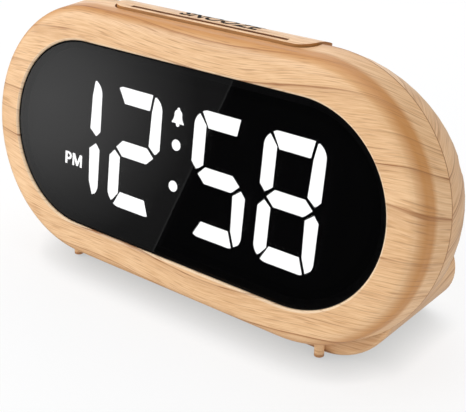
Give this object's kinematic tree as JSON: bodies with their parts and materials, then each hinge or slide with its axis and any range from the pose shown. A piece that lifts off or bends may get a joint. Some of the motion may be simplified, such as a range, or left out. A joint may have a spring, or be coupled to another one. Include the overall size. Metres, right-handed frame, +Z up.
{
  "type": "digital desk clock",
  "caption": "Digital desk clock leaning on a low foot: wood-look stadium case, smoked display lens, snooze bar on top, setting keys, alarm switch, dimmer and power inlet behind.",
  "frame": {"origin": "on the table, under the middle of the clock's bounding box", "axes": "+X to the right as seen from the front, -Y towards the viewer, +Z up"},
  "size_m": [0.1508, 0.0506, 0.0801],
  "materials": {
    "wood_look": "satin wood-grain film",
    "smoked": "polished, dark see-through",
    "black": "matte",
    "diffuser_lit": "milky, lit from behind",
    "diffuser_dark": "milky, unlit",
    "board": "solder mask",
    "plated": "plated",
    "pad": "matte",
    "wire": "matte sleeve",
    "ivory": "matte"
  },
  "bodies": {
    "case": {"front_shell": "wood_look", "rear_shell": "wood_look", "display_lens": "smoked", "lens_tape": "black", "led_reflector": "black", "lit_segments": "diffuser_lit", "unlit_segments": "diffuser_dark", "colon_dots": "diffuser_lit", "indicator_windows": "diffuser_lit", "display_pcb": "board", "segment_leds": "ivory", "driver_chip": "black", "crystal": "plated", "pcb_screws": "plated", "housing_screws": "plated", "snooze_switch": "black", "key_pcb": "board", "key_screws": "plated", "key_switches": "black", "alarm_switch": "plated", "dimmer_pot": "board", "usb_inlet": "plated", "buzzer": "black", "ribbon_headers": "ivory", "ribbon_cable": "ivory", "backup_cell": "plated", "cell_contacts": "plated", "cell_leads": "wire", "battery_door": "wood_look", "door_screw": "plated", "foot_pads": "pad"},
    "snooze_bar": {"snooze_button": "wood_look", "snooze_plunger": "plated"},
    "time_key": {"time_button": "wood_look", "time_plunger": "plated"},
    "alarm_key": {"alarm_button": "wood_look", "alarm_plunger": "plated"},
    "hour_key": {"hour_button": "wood_look", "hour_plunger": "plated"},
    "minute_key": {"minute_button": "wood_look", "minute_plunger": "plated"},
    "alarm_lever": {"alarm_knob": "black"},
    "dimmer": {"dimmer_wheel": "black"}
  },
  "joints": [
    {"name": "snooze_press", "type": "slide", "parent": "case", "child": "snooze_bar", "axis": [0, -0.1392, -0.9903], "range_m": [0, 0.001], "stiffness_N_per_m": 1500, "springref_m": -0.0003},
    {"name": "time_press", "type": "slide", "parent": "case", "child": "time_key", "axis": [0, -0.9903, 0.1392], "range_m": [0, 0.0008], "stiffness_N_per_m": 1500, "springref_m": -0.0002},
    {"name": "alarm_press", "type": "slide", "parent": "case", "child": "alarm_key", "axis": [0, -0.9903, 0.1392], "range_m": [0, 0.0008], "stiffness_N_per_m": 1500, "springref_m": -0.0002},
    {"name": "hour_press", "type": "slide", "parent": "case", "child": "hour_key", "axis": [0, -0.9903, 0.1392], "range_m": [0, 0.0008], "stiffness_N_per_m": 1500, "springref_m": -0.0002},
    {"name": "minute_press", "type": "slide", "parent": "case", "child": "minute_key", "axis": [0, -0.9903, 0.1392], "range_m": [0, 0.0008], "stiffness_N_per_m": 1500, "springref_m": -0.0002},
    {"name": "alarm_slide", "type": "slide", "parent": "case", "child": "alarm_lever", "axis": [1, 0, 0], "range_m": [0, 0.004]},
    {"name": "dimmer_turn", "type": "hinge", "parent": "case", "child": "dimmer", "pos_m": [-0.044, 0.01017, 0.04326], "axis": [1, 0, 0], "range_deg": [-135, 135]}
  ]
}
